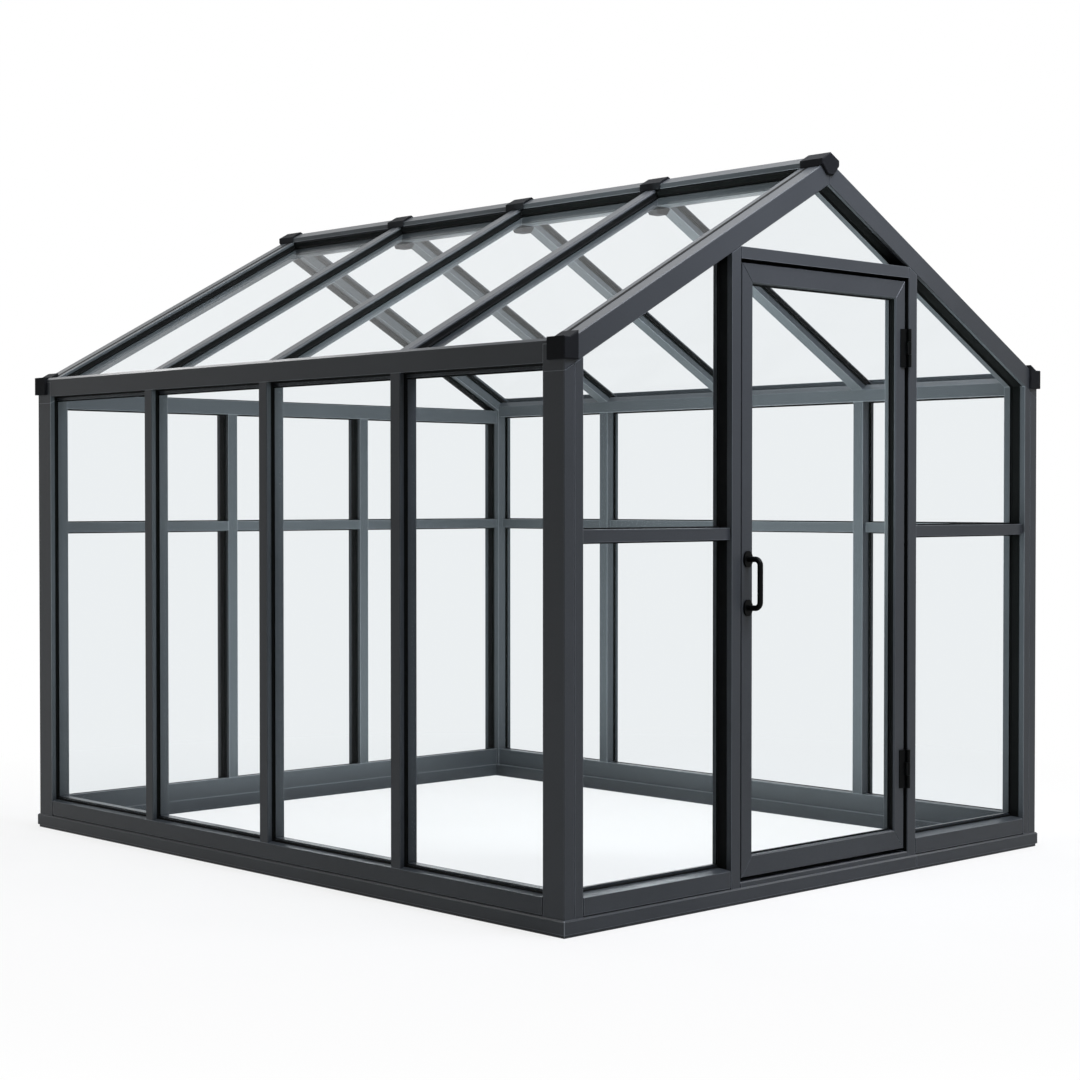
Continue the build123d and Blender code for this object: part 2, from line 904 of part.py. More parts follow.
with BuildPart() as roof_glass:
    add(left_roof_glass.part)
    mirror(left_roof_glass.part, about=Plane.YZ)

# Door leaf: mitred stiles and rails round one pane
light_half = leaf_half - stile_width
light_bottom = leaf_bottom + kick_rail_height
light_top = leaf_top - top_rail_height
leaf_slot_front = leaf_front + (leaf_thickness - slot) / 2
leaf_pane_front = leaf_slot_front + glass_clearance
leaf_slot = rectangle(
    -light_half - glass_grip,
    light_bottom - glass_grip,
    light_half + glass_grip,
    light_top + glass_grip,
)



def front_edges():
    """Edges of the foremost faces of the part being built."""
    return faces().filter_by(Axis.Y).group_by(Axis.Y)[0].edges()


def off_centre(edge):
    """Distance of an edge from the leaf's centre line."""
    return abs(edge.center().X)


with BuildPart() as door_stiles:
    for side in (-1, 1):
        along_y(
            [
                (side * leaf_half, leaf_bottom),
                (side * light_half, light_bottom),
                (side * light_half, light_top),
                (side * leaf_half, leaf_top),
            ],
            leaf_front,
            leaf_back,
        )
    chamfer(front_edges().filter_by(Axis.Z).sort_by(off_centre)[:2], light_chamfer)
    chamfer(front_edges().filter_by(Axis.Z).sort_by(off_centre)[2:], leaf_edge_break)
    chamfer(front_edges().filter_by(Axis.Z, reverse=True), leaf_edge_break)
    along_y(leaf_slot, leaf_slot_front, leaf_slot_front + slot, Mode.SUBTRACT)

with BuildPart() as door_rails:
    for rail_outer, rail_inner in ((leaf_bottom, light_bottom), (leaf_top, light_top)):
        along_y(
            [
                (-leaf_half, rail_outer),
                (leaf_half, rail_outer),
                (light_half, rail_inner),
                (-light_half, rail_inner),
            ],
            leaf_front,
            leaf_back,
        )
    chamfer(front_edges().filter_by(Axis.X).sort_by(SortBy.LENGTH)[:2], light_chamfer)
    chamfer(front_edges().filter_by(Axis.X).sort_by(SortBy.LENGTH)[2:], leaf_edge_break)
    chamfer(front_edges().filter_by(Axis.X, reverse=True), leaf_edge_break)
    along_y(leaf_slot, leaf_slot_front, leaf_slot_front + slot, Mode.SUBTRACT)

with BuildPart() as door_glass:
    along_y(
        rectangle(
            -light_half - inset, light_bottom - inset, light_half + inset, light_top + inset
        ),
        leaf_pane_front,
        leaf_pane_front + glass_thickness,
    )

# Door pull: one bent bar on two oval roses
handle_x = stile_width / 2 - leaf_half
handle_low = handle_centre - handle_spacing / 2
handle_high = handle_centre + handle_spacing / 2
grip_y = leaf_front - handle_standoff

with BuildPart() as door_handle:
    with BuildLine(Plane.YZ.offset(handle_x)) as handle_path:
        FilletPolyline(
            (leaf_front, handle_low),
            (grip_y, handle_low),
            (grip_y, handle_high),
            (leaf_front, handle_high),
            radius=handle_bend_radius,
        )
    with BuildSketch(Plane(origin=handle_path.line @ 0, z_dir=handle_path.line % 0)):
        Circle(handle_diameter / 2)
    sweep(path=handle_path.line)
    with BuildSketch(Plane.XZ.offset(-leaf_front)):
        with Locations((handle_x, handle_low), (handle_x, handle_high)):
            Ellipse(rose_width / 2, rose_height / 2)
    extrude(amount=rose_thickness)

# Butt hinges: two knuckles, the pin and a leaf in the reveal; a cranked knuckle on the door
hinge_heights = (leaf_bottom + hinge_foot_offset, leaf_top - hinge_head_offset)
barrel_radius = hinge_barrel_diameter / 2
hinge_x = door_half - door_gap / 2
hinge_y = -half_length - barrel_radius
knuckle_height = hinge_height / 3


def barrel(z_from, z_to, diameter, mode=Mode.ADD):
    """Round piece on the hinge axis between two heights."""
    with BuildSketch(Plane.XY.offset(z_from)) as ring:
        with Locations((hinge_x, hinge_y)):
            Circle(diameter / 2)
    extrude(ring.sketch, amount=z_to - z_from, mode=mode)


with BuildPart() as hinge_frame_leaves:
    for height in hinge_heights:
        foot = height - hinge_height / 2
        head = height + hinge_height / 2
        along_z(
            rectangle(
                door_half - hinge_leaf_thickness,
                hinge_y,
                door_half,
                hinge_leaf_width - half_length,
            ),
            foot,
            head,
        )
        barrel(
            foot + knuckle_height, head - knuckle_height, 2 * hinge_barrel_diameter, Mode.SUBTRACT
        )
        barrel(foot, foot + knuckle_height, hinge_barrel_diameter)
        barrel(head - knuckle_height, head, hinge_barrel_diameter)
        barrel(foot, head, hinge_pin_diameter)

with BuildPart() as hinge_door_leaves:
    for height in hinge_heights:
        foot = height - knuckle_height / 2 + hinge_knuckle_gap
        head = height + knuckle_height / 2 - hinge_knuckle_gap
        cover_front = leaf_front - hinge_cover_thickness
        along_z(
            [
                (leaf_half - hinge_leaf_width, leaf_front),
                (leaf_half, leaf_front),
                (leaf_half, cover_front),
                (leaf_half - hinge_crank_width, cover_front),
                (leaf_half - hinge_leaf_width, leaf_front - hinge_cover_edge),
            ],
            height - hinge_height / 2,
            height + hinge_height / 2,
        )
        along_z(
            rectangle(leaf_half - hinge_crank_width, hinge_y, leaf_half, cover_front), foot, head
        )
        along_z(
            rectangle(
                leaf_half - hinge_crank_width,
                hinge_y - hinge_leaf_thickness,
                hinge_x,
                hinge_y + hinge_leaf_thickness,
            ),
            foot,
            head,
        )
        barrel(foot, head, hinge_barrel_diameter)
        barrel(foot, head, hinge_pin_diameter + 2 * hinge_pin_clearance, Mode.SUBTRACT)

pieces = {
    "base_front": base_front,
    "base_back": base_back,
    "base_left": base_left,
    "base_right": base_right,
    "corner_post_front_left": corner_post_front_left,
    "corner_post_front_right": corner_post_front_right,
    "corner_post_back_left": corner_post_back_left,
    "corner_post_back_right": corner_post_back_right,
    "bottom_rail_left": bottom_rail_left,
    "bottom_rail_right": bottom_rail_right,
    "bottom_rail_back": bottom_rail_back,
    "bottom_rails_front": bottom_rails_front,
    "left_mullions": left_mullions,
    "right_mullions": right_mullions,
    "back_posts": back_posts,
    "back_tie_beam": back_tie_beam,
    "door_posts": door_posts,
    "door_header": door_header,
    "door_threshold": door_threshold,
    "door_stops": door_stops,
    "mid_rails_front": mid_rails_front,
    "mid_rails_back": mid_rails_back,
    "mid_rails_right": mid_rails_right,
    "eave_beam_left": eave_beam_left,
    "eave_beam_right": eave_beam_right,
    "front_rake_left": front_rake_left,
    "front_rake_right": front_rake_right,
    "back_rake_left": back_rake_left,
    "back_rake_right": back_rake_right,
    "ridge_beam": ridge_beam,
    "ridge_capping": ridge_capping,
    "roof_bars": roof_bars,
    "ridge_clips": ridge_clips,
    "ridge_end_caps": ridge_end_caps,
    "eave_corner_caps": eave_corner_caps,
    "left_wall_glass": left_wall_glass,
    "right_wall_glass": right_wall_glass,
    "front_wall_glass": front_wall_glass,
    "back_wall_glass": back_wall_glass,
    "roof_glass": roof_glass,
    "hinge_frame_leaves": hinge_frame_leaves,
    "door_stiles": door_stiles,
    "door_rails": door_rails,
    "door_glass": door_glass,
    "door_handle": door_handle,
    "hinge_door_leaves": hinge_door_leaves,
}

os.makedirs("parts", exist_ok=True)
for name, piece in pieces.items():
    piece.part.label = name
    export_step(piece.part, f"parts/{name}.step")
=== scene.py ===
import json
import math

import bmesh
import bpy
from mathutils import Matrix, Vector


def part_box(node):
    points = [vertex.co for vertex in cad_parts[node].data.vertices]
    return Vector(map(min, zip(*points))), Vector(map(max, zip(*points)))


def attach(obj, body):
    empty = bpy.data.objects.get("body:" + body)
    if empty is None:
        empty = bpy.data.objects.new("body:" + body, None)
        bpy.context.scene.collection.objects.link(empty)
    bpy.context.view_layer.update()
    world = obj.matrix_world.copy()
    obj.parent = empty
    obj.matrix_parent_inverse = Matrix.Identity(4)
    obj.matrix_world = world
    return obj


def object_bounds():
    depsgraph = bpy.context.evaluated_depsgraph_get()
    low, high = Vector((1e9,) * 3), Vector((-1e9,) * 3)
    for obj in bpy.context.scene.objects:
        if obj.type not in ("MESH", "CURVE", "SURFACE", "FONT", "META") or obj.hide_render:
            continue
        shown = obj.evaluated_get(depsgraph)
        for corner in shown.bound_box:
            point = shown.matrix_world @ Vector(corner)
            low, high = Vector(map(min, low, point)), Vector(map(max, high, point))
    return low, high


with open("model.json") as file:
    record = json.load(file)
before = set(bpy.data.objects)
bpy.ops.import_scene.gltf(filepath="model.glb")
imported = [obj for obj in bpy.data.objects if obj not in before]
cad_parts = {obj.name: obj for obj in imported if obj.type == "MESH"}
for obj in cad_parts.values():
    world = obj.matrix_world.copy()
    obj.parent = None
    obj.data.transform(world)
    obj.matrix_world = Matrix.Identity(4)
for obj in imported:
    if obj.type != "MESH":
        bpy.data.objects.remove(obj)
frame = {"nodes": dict(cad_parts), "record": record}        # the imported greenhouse, bodies root and door
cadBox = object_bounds()
millimetre = 0.001
print("frame loaded:", len(frame["nodes"]), "nodes")


def toLinear(hexColour):
    channels = [int(hexColour[i:i + 2], 16) / 255 for i in (1, 3, 5)]
    return [c / 12.92 if c <= 0.04045 else ((c + 0.055) / 1.055) ** 2.4 for c in channels] + [1.0]


def addNode(tree, kind, inputs=None, settings=None):
    node = tree.nodes.new(kind)
    for name, value in (settings or {}).items():
        setattr(node, name, value)
    for name, value in (inputs or {}).items():
        if isinstance(value, bpy.types.NodeSocket):
            tree.links.new(value, node.inputs[name])
        else:
            node.inputs[name].default_value = value
    return node


def newTree(owner):
    # the emptied node tree of a material or of the world
    owner.use_nodes = True
    owner.node_tree.nodes.clear()
    return owner.node_tree


def addObject(name, data):
    made = bpy.data.objects.new(name, data)
    bpy.context.scene.collection.objects.link(made)
    return made


def coatedSurface(name, look):
    # shared build of the opaque finishes: tone drift, uneven gloss and a fine surface relief;
    # a Mix node's sockets go by number, 2 and 3 for plain values, 6 and 7 for colours
    noiseLow, noiseHigh = 0.3, 0.7        # nearly all of a noise texture lies between these
    flatFace, outerEdge = 0.95, 0.6       # inner occlusion on a flat face and at a sharp edge
    material = bpy.data.materials.new(name)
    tree = newTree(material)
    coords = addNode(tree, "ShaderNodeTexCoord")
    drift = addNode(tree, "ShaderNodeTexNoise", {
        "Vector": coords.outputs["Object"],
        "Scale": 1 / (look["driftMm"] * millimetre),
        "Detail": 3.0,
    })
    relief = addNode(tree, "ShaderNodeTexNoise", {
        "Vector": coords.outputs["Object"],
        "Scale": 1 / (look["reliefMm"] * millimetre),
        "Detail": 2.0,
    })
    speckle = addNode(tree, "ShaderNodeMix", {
        0: look["speckle"],
        2: drift.outputs["Fac"],
        3: relief.outputs["Fac"],
    })
    tone = addNode(tree, "ShaderNodeValToRGB", {"Fac": speckle.outputs[0]})
    for stop, place, shade in zip(tone.color_ramp.elements, (noiseLow, noiseHigh), ("dark", "light")):
        stop.position = place
        stop.color = toLinear(look[shade])
    colour = tone.outputs["Color"]
    if "highlightEdgeMm" in look:
        # painted highlight: a pale hairline along every outer edge, found by occlusion inside the piece
        inner = addNode(tree, "ShaderNodeAmbientOcclusion", {"Distance": look["highlightEdgeMm"] * millimetre},
                        {"inside": True, "only_local": True, "samples": 8})
        edge = addNode(tree, "ShaderNodeMapRange", {
            "Value": inner.outputs["AO"],
            "From Min": flatFace,
            "From Max": outerEdge,
            "To Min": 0.0,
            "To Max": 1.0,
        })
        paintedHighlight = addNode(tree, "ShaderNodeMix", {
            0: edge.outputs["Result"],
            6: colour,
            7: toLinear(look["edge"]),
        }, {"data_type": "RGBA"})
        colour = paintedHighlight.outputs[2]
    gloss = addNode(tree, "ShaderNodeMapRange", {
        "Value": drift.outputs["Fac"],
        "From Min": noiseLow,
        "From Max": noiseHigh,
        "To Min": look["roughness"][0],
        "To Max": look["roughness"][1],
    })
    bump = addNode(tree, "ShaderNodeBump", {
        "Height": relief.outputs["Fac"],
        "Strength": look["reliefStrength"],
        "Distance": look["reliefDepthMm"] * millimetre,
    })
    shader = addNode(tree, "ShaderNodeBsdfPrincipled", {
        "Base Color": colour,
        "Roughness": gloss.outputs["Result"],
        "Normal": bump.outputs["Normal"],
        "Specular IOR Level": look["specular"],
    })
    addNode(tree, "ShaderNodeOutputMaterial", {"Surface": shader.outputs["BSDF"]})
    return material


# Polyester powder coat baked on extruded aluminium: a satin charcoal skin whose faint orange peel
# softens every reflection, pale where the sky is seen at a low angle and in a painted edge highlight.
powderCoat = coatedSurface("powder_coated_aluminium", {
    "dark": "#333639",
    "light": "#3a3d40",
    "driftMm": 420,
    "roughness": (0.28, 0.36),
    "reliefMm": 5,            # real peel is about 1.5 mm, drawn coarser so that it shows
    "reliefDepthMm": 0.25,
    "reliefStrength": 0.04,
    "speckle": 0.45,
    "specular": 0.14,
    "highlightEdgeMm": 1.8,            # painted edge highlight; a real hairline is about 0.5 mm, drawn wider so that it shows
    # colour of the painted edge highlight
    "edge": "#6a6e72",
})

# Injection-moulded nylon with a spark-eroded grain: near black, soft even sheen.
mouldedNylon = coatedSurface("moulded_black_nylon", {
    "dark": "#161719",
    "light": "#1d1e20",
    "driftMm": 90,
    "roughness": (0.66, 0.76),
    "reliefMm": 3,            # real grain is under 1 mm, drawn coarser so that it shows
    "reliefDepthMm": 0.3,
    "reliefStrength": 0.1,
    "speckle": 0.4,
    "specular": 0.04,
})

# Steel hardware with a sprayed satin paint: smoother than the nylon, so its rounds carry a glint.
satinPaint = coatedSurface("satin_painted_steel", {
    "dark": "#070808",
    "light": "#0b0c0c",
    "driftMm": 60,
    "roughness": (0.30, 0.38),
    "reliefMm": 4,
    "reliefDepthMm": 0.15,
    "reliefStrength": 0.05,
    "speckle": 0.3,
    "specular": 0.05,
})

# Extruded EPDM glazing rubber: matt black, it swallows light along every pane. The same black also lines
# the reveals outside the panes and the door jambs as painted shade.
rubberAndPaintedShade = coatedSurface("epdm_rubber_and_painted_shade", {
    "dark": "#070808",
    "light": "#0b0c0c",
    "driftMm": 150,
    "roughness": (0.62, 0.72),
    "reliefMm": 3,
    "reliefDepthMm": 0.2,
    "reliefStrength": 0.1,
    "speckle": 0.4,
    "specular": 0.05,
})


def floatGlass():
    # Toughened float glass: clear with a faint cool cast; heat-treating leaves a long shallow
    # roller wave, so mirrored edges are not quite straight. The IOR is below the usual 1.5,
    # which keeps the panes almost free of glare, the roof's as well.
    glass = {"tint": "#f5f7f8", "waveMm": 320, "waveDepthMm": 0.05, "ior": 1.05}
    material = bpy.data.materials.new("toughened_float_glass")
    tree = newTree(material)
    coords = addNode(tree, "ShaderNodeTexCoord")
    wave = addNode(tree, "ShaderNodeTexNoise", {
        "Vector": coords.outputs["Object"],
        "Scale": 1 / (glass["waveMm"] * millimetre),
        "Detail": 0.0,
    })
    bump = addNode(tree, "ShaderNodeBump", {
        "Height": wave.outputs["Fac"],
        "Strength": 1.0,
        "Distance": glass["waveDepthMm"] * millimetre,
    })
    pane = addNode(tree, "ShaderNodeBsdfPrincipled", {
        "Base Color": toLinear(glass["tint"]),
        "Roughness": 0.0,
        "IOR": glass["ior"],
        "Transmission Weight": 1.0,
        "Normal": bump.outputs["Normal"],
    })
    through = addNode(tree, "ShaderNodeBsdfTransparent", {"Color": toLinear(glass["tint"])})
    rays = addNode(tree, "ShaderNodeLightPath")
    # mirrored, scattered and lamp rays pass unbent; what the eye sees through a pane still bends
    mix = pane
    for test, shader in (("Is Glossy Ray", through), ("Is Transmission Ray", pane),
                         ("Is Diffuse Ray", through), ("Is Shadow Ray", through)):
        mix = addNode(tree, "ShaderNodeMixShader", {
            0: rays.outputs[test], 1: mix.outputs[0], 2: shader.outputs["BSDF"]})
    addNode(tree, "ShaderNodeOutputMaterial", {"Surface": mix.outputs["Shader"]})
    return material


finishes = {
    "charcoal_frame": powderCoat,
    "black_connector": mouldedNylon,
    "black_hardware": satinPaint,
    "clear_glass": floatGlass(),
}
for subpart in frame["record"]["subparts"]:
    node = frame["nodes"][subpart["node"]]
    for holder in node.material_slots:
        holder.material = finishes[subpart["material_slot"]]
print("finishes set:", ", ".join(finishes))


def addBlackPiece(name, bm, body):
    bmesh.ops.recalc_face_normals(bm, faces=bm.faces)
    mesh = bpy.data.meshes.new(name)
    bm.to_mesh(mesh)
    bm.free()
    mesh.materials.append(rubberAndPaintedShade)
    piece = addObject(name, mesh)
    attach(piece, body)


def paneSides(nodeName):
    # the two broad faces of every pane in a node, as corner lists in order round the face
    weld = 0.01 * millimetre
    sameWay = 0.999        # cosine from which two faces look the same way
    bm = bmesh.new()
    bm.from_mesh(frame["nodes"][nodeName].data)
    bmesh.ops.remove_doubles(bm, verts=bm.verts, dist=weld)
    sides = []
    waiting = dict.fromkeys(bm.faces)        # a dict keeps its order, so every run gives the same mesh
    while waiting:
        island = [waiting.popitem()[0]]
        for face in island:
            for edge in face.edges:
                for other in edge.link_faces:
                    if other in waiting:
                        del waiting[other]
                        island.append(other)
        broad = max(island, key=lambda face: face.calc_area()).normal.copy()
        for normal in (broad, -broad):
            corners = dict.fromkeys(v for f in island if f.normal.dot(normal) > sameWay for v in f.verts)
            points = [v.co.copy() for v in corners]
            centre = sum(points, Vector()) / len(points)
            across = Vector((-normal.y, normal.x, 0)).normalized()
            up = normal.cross(across)
            points.sort(key=lambda p: math.atan2((p - centre).dot(up), (p - centre).dot(across)))
            sides.append((points, (normal, across, up)))
    bm.free()
    return sides


def insetOutline(points, across, up, reach):
    # moves each side of a convex outline inwards by its own reach, with mitred corners
    flat = [(p.dot(across), p.dot(up)) for p in points]
    depth = points[0] - across * flat[0][0] - up * flat[0][1]
    lines = []
    for i, (a, b) in enumerate(flat):
        c, d = flat[(i + 1) % len(flat)]
        length = math.hypot(c - a, d - b)
        inX, inY = -(d - b) / length, (c - a) / length
        lines.append((a + inX * reach[i], b + inY * reach[i], (c - a) / length, (d - b) / length))
    corners = []
    for i, (x, y, dx, dy) in enumerate(lines):
        px, py, ex, ey = lines[i - 1]
        along = ((x - px) * dy - (y - py) * dx) / (ex * dy - ey * dx)
        corners.append(depth + across * (px + ex * along) + up * (py + ey * along))
    return corners


def withoutShortSides(points, limit):
    # drops each side under the limit and lets the two beside it run on until they meet
    kept = list(points)
    i = 0
    while i < len(kept) and len(kept) > 3:
        a, b = kept[i], kept[(i + 1) % len(kept)]
        if (b - a).length < limit:
            before, after = kept[i - 1], kept[(i + 2) % len(kept)]
            u, v = (a - before).normalized(), (after - b).normalized()
            w = b - a
            uv = u.dot(v)
            step = (u.dot(w) - uv * v.dot(w)) / (1 - uv * uv)
            kept[i] = a + u * step
            del kept[(i + 1) % len(kept)]
            i = 0
        else:
            i += 1
    return kept


def flatProfile(rise):
    return [(0.0, 0.0), (0.0, rise), (1.0, rise), (1.0, 0.0)]


def addStrip(bm, outer, inner, normal, profile):
    # one straight strip with mitred ends; profile pairs are (share of the width, rise)
    rings = []
    for end in (0, 1):
        rings.append([
            bm.verts.new(outer[end].lerp(inner[end], share) + normal * rise)
            for share, rise in profile
        ])
    count = len(profile)
    for i in range(count):
        j = (i + 1) % count
        bm.faces.new((rings[0][i], rings[0][j], rings[1][j], rings[1][i]))
    bm.faces.new(rings[0])
    bm.faces.new(reversed(rings[1]))


def addStrips(bm, outline, facing, reach, widths, profiles):
    # a strip along each side of an outline that has a width, starting at that side's reach
    normal, across, up = facing
    outer = insetOutline(outline, across, up, reach)
    inner = insetOutline(outline, across, up, [r + w for r, w in zip(reach, widths)])
    for i, width in enumerate(widths):
        if width:
            j = (i + 1) % len(outline)
            addStrip(bm, (outer[i], outer[j]), (inner[i], inner[j]), normal, profiles[i])


gasket = {
    "grip": 9.7 * millimetre,        # glass hidden in the slot
    "rise": 3.5 * millimetre,
    "lip": 0.8 * millimetre,
    "lift": 0.1 * millimetre,        # keeps the rubber's back off the glass face
    "skin": 1.5 * millimetre,        # black sheet up the side of the frame, outside: painted shade on the reveal
    "beadWidth": 2.0 * millimetre,   # rubber on the bead behind a sill
    "shortSide": 60 * millimetre,
    "level": 0.99,                   # cosine from which a side counts as a foot or a head
    "lean": 0.1,                     # least rise and run, as shares, of a side that counts as sloped
}
# rubber that shows beside the frame and along the foot, and how far the black lining of painted shade
# comes forward up the reveal, in mm
glazing = {
    "left_wall": {"body": "root", "width": 5.5, "foot": 5.0, "shadeLining": 7, "headShadeLining": 20},
    "right_wall": {"body": "root", "width": 5.5, "foot": 5.0, "shadeLining": 7, "headShadeLining": 20},
    "front_wall": {"body": "root", "width": 5.5, "foot": 5.0, "shadeLining": 34, "headShadeLining": 42},
    "back_wall": {"body": "root", "width": 5.5, "foot": 5.0, "shadeLining": 34, "headShadeLining": 42},
    "roof": {"body": "root", "width": 4.0, "foot": 0.0, "shadeLining": 16, "headShadeLining": 20},
    "door": {"body": "door", "width": 4.5, "foot": 4.5, "shadeLining": 14, "headShadeLining": 14},
}
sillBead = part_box("bottom_rail_left")[1].z
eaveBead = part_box("eave_beam_left")[0].z
middle = (Vector(cadBox[0]) + Vector(cadBox[1])) / 2


def gasketProfile(width, shadeLining):
    # a wedge against the glass; outside it carries on as a thin black sheet up the frame, painted shade on
    # the reveal
    profile = [(0.0, gasket["lift"])]
    if shadeLining:
        skin = gasket["skin"] / width
        profile += [(0.0, shadeLining), (skin, shadeLining), (skin, gasket["rise"])]
    else:
        profile += [(0.0, gasket["rise"])]
    return profile + [(0.5, gasket["rise"]), (1.0, gasket["lip"]), (1.0, gasket["lift"])]


def addGasketsAndShadeLinings(name, look):
    bm = bmesh.new()
    for points, facing in paneSides(f"{name}_glass"):
        normal, across, up = facing
        outline = withoutShortSides(points, gasket["shortSide"])
        inside = normal.dot(outline[0] - middle) < 0
        lowest = min(p.z for p in outline)
        highest = max(p.z for p in outline)
        reach = []
        widths = []
        profiles = []
        for i, a in enumerate(outline):
            heading = (outline[(i + 1) % len(outline)] - a).normalized()
            foot = heading.dot(across) > gasket["level"]
            head = heading.dot(across) < -gasket["level"]
            sloped = min(abs(heading.z), abs(heading.x)) > gasket["lean"]
            take = gasket["grip"]
            width = look["width"] * millimetre
            # outside, beside and above the pane, a black sheet up the reveal stands in as painted shade
            shadeLining = 0.0 if inside or foot else look["shadeLining"] * millimetre
            if foot:
                width = gasket["beadWidth"] if inside else look["foot"] * millimetre
            if foot and not look["foot"]:
                take = width = 0.0
            elif foot and inside and a.z < sillBead:
                take = sillBead - lowest
            if not inside and (head or sloped and name != "roof"):
                shadeLining = look["headShadeLining"] * millimetre
            elif head and name in ("left_wall", "right_wall"):
                take = highest - eaveBead
            reach.append(take)
            widths.append(width)
            profiles.append(gasketProfile(width, shadeLining))
        addStrips(bm, outline, facing, reach, widths, profiles)
    addBlackPiece(f"{name}_gaskets_and_shade_linings", bm, look["body"])


for name, look in glazing.items():
    addGasketsAndShadeLinings(name, look)
print("gaskets_and_shade_linings made")


def addDoorwayRubber(name, y, low, high, reach, widths, profile):
    # strips that face out of the door wall, round a rectangle whose low and high corners are (x, z)
    facing = Vector((0, -1, 0)), Vector((1, 0, 0)), Vector((0, 0, 1))
    corners = [Vector((x, y, z)) for x, z in (
        (low[0], low[1]), (high[0], low[1]), (high[0], high[1]), (low[0], high[1]))]
    bm = bmesh.new()
    addStrips(bm, corners, facing, reach, widths, [profile] * len(corners))
    addBlackPiece(name, bm, "root")


def addDoorSeal():
    # bulb seal round the stops, just clear of the closed leaf
    seal = {"fromEdge": 3.0 * millimetre, "width": 7.0 * millimetre, "rise": 4.2 * millimetre,
            "footInset": 0.5 * millimetre, "footWidth": 3.0 * millimetre, "roundSteps": 6}
    leafLow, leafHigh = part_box("door_stiles")
    reach = [seal["footInset"]] + [seal["fromEdge"]] * 3
    widths = [seal["footWidth"]] + [seal["width"]] * 3
    bulb = []
    for step in range(seal["roundSteps"] + 1):
        turn = math.pi * step / seal["roundSteps"]
        bulb.append(((1 - math.cos(turn)) / 2, seal["rise"] * math.sin(turn)))
    addDoorwayRubber("door_seal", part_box("door_stops")[0].y, (leafLow.x, leafLow.z),
                     (leafHigh.x, leafHigh.z), reach, widths, bulb)


def addJambShadeLining():
    # a thin black sheet up both door posts and under the header: painted shade that keeps the gap round
    # the leaf dark
    shadeLining = {"skin": 1.2 * millimetre, "sunk": 0.3 * millimetre, "short": 3.0 * millimetre}
    stopLow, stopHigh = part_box("door_stops")
    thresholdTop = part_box("door_threshold")[1].z
    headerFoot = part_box("door_header")[0].z
    depth = stopLow.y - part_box("door_posts")[0].y - shadeLining["short"]
    reach = [0.0] + [-shadeLining["sunk"]] * 3
    widths = [0.0] + [shadeLining["sunk"] + shadeLining["skin"]] * 3
    addDoorwayRubber("door_jamb_shade_lining", stopLow.y, (stopLow.x, thresholdTop),
                     (stopHigh.x, headerFoot), reach, widths, flatProfile(depth))


def addRakeSeals():
    # weather strip let into the top of each rake, along the roof glass
    seal = {"fromFace": 50 * millimetre, "width": 14 * millimetre, "rise": 0.8 * millimetre,
            "flatness": 0.2 * millimetre}
    roofFace = {"leastUp": 0.8, "mostUp": 0.95, "mostAlong": 0.01}        # shares of its normal
    bm = bmesh.new()
    for name in ("front_rake_left", "front_rake_right", "back_rake_left", "back_rake_right"):
        mesh = frame["nodes"][name].data
        slopes = [f for f in mesh.polygons if roofFace["leastUp"] < f.normal.z < roofFace["mostUp"]
                  and abs(f.normal.y) < roofFace["mostAlong"]]
        normal = slopes[0].normal.copy()
        heights = [normal.dot(f.center) for f in slopes]
        top = max(heights)
        points = [mesh.vertices[v].co for f, height in zip(slopes, heights)
                  if height > top - seal["flatness"] for v in f.vertices]
        low = min(points, key=lambda p: p.z)
        high = max(points, key=lambda p: p.z)
        face = max(abs(p.y) for p in points)
        side = math.copysign(1, low.y)
        lines = []
        for inset in (seal["fromFace"], seal["fromFace"] + seal["width"]):
            y = side * (face - inset)
            lines.append((Vector((low.x, y, low.z)), Vector((high.x, y, high.z))))
        addStrip(bm, lines[0], lines[1], normal, flatProfile(seal["rise"]))
    addBlackPiece("rake_seals", bm, "root")


addDoorSeal()
addJambShadeLining()
addRakeSeals()
print("door and roof seals made")


